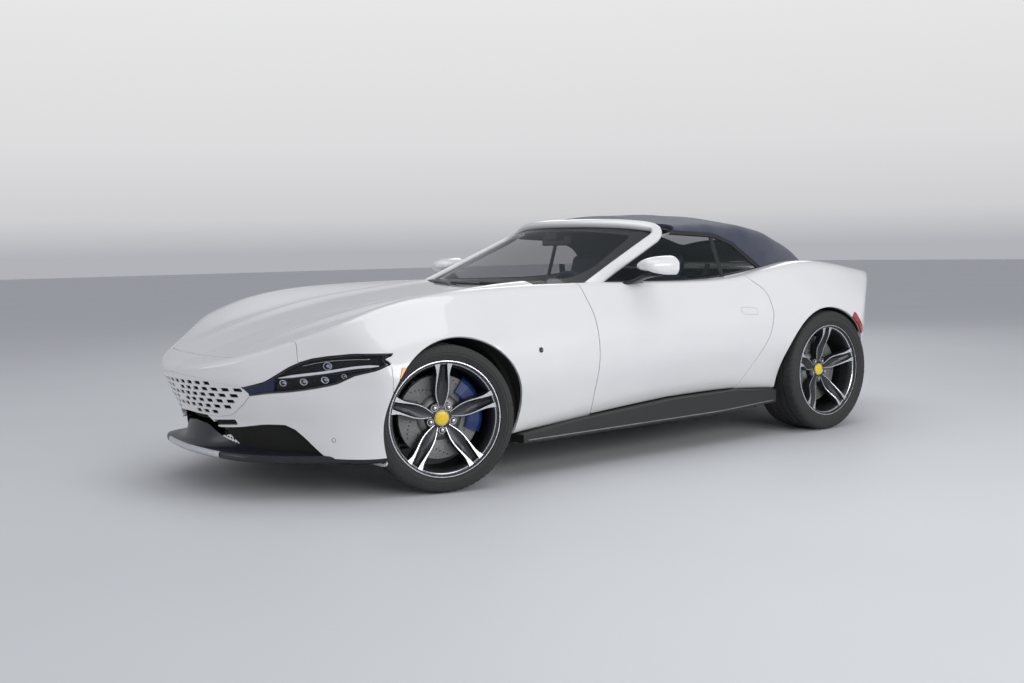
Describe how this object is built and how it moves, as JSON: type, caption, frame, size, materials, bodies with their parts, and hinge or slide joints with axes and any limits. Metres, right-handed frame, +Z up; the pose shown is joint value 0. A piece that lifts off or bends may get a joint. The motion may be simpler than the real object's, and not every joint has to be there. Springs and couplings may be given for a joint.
{
  "type": "roadster convertible",
  "caption": "Low two-door roadster with its fabric roof raised, opening bonnet, doors and boot, steered front wheels and a hollow cabin.",
  "frame": {"origin": "on the ground, under the middle of the car", "axes": "+X towards the left side of the car, -Y forwards, +Z up"},
  "size_m": [2.096, 4.656, 1.3019],
  "materials": {
    "body_paint": "white metallic paint with a clear coat",
    "black_trim": "black satin plastic",
    "tyre": "black rubber",
    "wheel_alloy": "dark grey lacquer with machined edges",
    "brake_disc": "grey ceramic",
    "roof_fabric": "navy woven cloth",
    "seat_leather": "navy leather",
    "cabin_trim": "dark soft plastic",
    "glass": "lightly tinted glass",
    "lamp_lens": "dark lamp behind a clear lens",
    "tail_lens": "red lens",
    "steel": "brushed steel",
    "liner_plastic": "black moulded plastic",
    "cast_metal": "dark cast metal"
  },
  "bodies": {
    "body": {"centre_console": "cabin_trim", "cowl": "black_trim", "dashboard": "cabin_trim", "exhaust_tips": "steel", "fixed_glass": "glass", "floor_pan": "liner_plastic", "front_bumper": "body_paint", "front_fender_left": "body_paint", "front_fender_right": "body_paint", "front_seats": "seat_leather", "front_splitter": "black_trim", "front_suspension": "cast_metal", "grille": "body_paint", "headlamps": "lamp_lens", "lower_grille": "liner_plastic", "powertrain": "cast_metal", "rear_bumper": "body_paint", "rear_diffuser": "black_trim", "rear_quarter_left": "body_paint", "rear_quarter_right": "body_paint", "rear_seats": "seat_leather", "rear_suspension": "cast_metal", "side_skirts": "black_trim", "soft_top": "roof_fabric", "tail_lamps": "tail_lens", "tonneau_cover": "body_paint", "wheel_liners": "liner_plastic", "windscreen_frame": "body_paint"},
    "hood": {"hood": "body_paint"},
    "boot_lid": {"boot_lid": "body_paint"},
    "door_left": {"door_left": "body_paint", "door_glass_left": "glass", "mirror_left": "body_paint"},
    "door_right": {"door_right": "body_paint", "door_glass_right": "glass", "mirror_right": "body_paint"},
    "knuckle_left": {"knuckle_left": "cast_metal"},
    "knuckle_right": {"knuckle_right": "cast_metal"},
    "steering_wheel": {"steering_wheel": "cabin_trim"},
    "wheel_front_left": {"tyre_front_left": "tyre", "wheel_front_left": "wheel_alloy", "brake_disc_front_left": "brake_disc"},
    "wheel_front_right": {"tyre_front_right": "tyre", "wheel_front_right": "wheel_alloy", "brake_disc_front_right": "brake_disc"},
    "wheel_rear_left": {"tyre_rear_left": "tyre", "wheel_rear_left": "wheel_alloy", "brake_disc_rear_left": "brake_disc"},
    "wheel_rear_right": {"tyre_rear_right": "tyre", "wheel_rear_right": "wheel_alloy", "brake_disc_rear_right": "brake_disc"}
  },
  "joints": [
    {"name": "hood_hinge", "type": "hinge", "parent": "body", "child": "hood", "pos_m": [0, -0.546, 0.935], "axis": [-1, 0, 0], "range_deg": [0, 60]},
    {"name": "boot_lid_hinge", "type": "hinge", "parent": "body", "child": "boot_lid", "pos_m": [0, 1.629, 0.998], "axis": [1, 0, 0], "range_deg": [0, 70]},
    {"name": "door_left_hinge", "type": "hinge", "parent": "body", "child": "door_left", "pos_m": [0.966, -0.482, 0.6], "axis": [0, 0, -1], "range_deg": [0, 65]},
    {"name": "door_right_hinge", "type": "hinge", "parent": "body", "child": "door_right", "pos_m": [-0.966, -0.482, 0.6], "axis": [0, 0, 1], "range_deg": [0, 65]},
    {"name": "steer_left", "type": "hinge", "parent": "body", "child": "knuckle_left", "pos_m": [0.766, -1.37, 0.34], "axis": [0, 0, 1], "range_deg": [-18, 48]},
    {"name": "steer_right", "type": "hinge", "parent": "body", "child": "knuckle_right", "pos_m": [-0.766, -1.37, 0.34], "axis": [0, 0, 1], "range_deg": [-18, 48]},
    {"name": "wheel_front_left_spin", "type": "hinge", "parent": "knuckle_left", "child": "wheel_front_left", "pos_m": [0.82396, -1.38553, 0.34], "axis": [0.9659, -0.2588, 0], "continuous": true},
    {"name": "wheel_rear_left_spin", "type": "hinge", "parent": "body", "child": "wheel_rear_left", "pos_m": [0.8395, 1.3, 0.354], "axis": [1, 0, 0], "continuous": true},
    {"name": "wheel_front_right_spin", "type": "hinge", "parent": "knuckle_right", "child": "wheel_front_right", "pos_m": [-0.82396, -1.35447, 0.34], "axis": [0.9659, -0.2588, 0], "continuous": true},
    {"name": "wheel_rear_right_spin", "type": "hinge", "parent": "body", "child": "wheel_rear_right", "pos_m": [-0.8395, 1.3, 0.354], "axis": [1, 0, 0], "continuous": true},
    {"name": "steering_wheel_turn", "type": "hinge", "parent": "body", "child": "steering_wheel", "pos_m": [0.37, -0.288, 0.742], "axis": [0, 0.9272, 0.3746], "range_deg": [-240, 630]}
  ],
  "couplings": [
    {"joint": "steer_right", "follows": "steer_left", "ratio": 1},
    {"joint": "steering_wheel_turn", "follows": "steer_left", "ratio": 13}
  ]
}
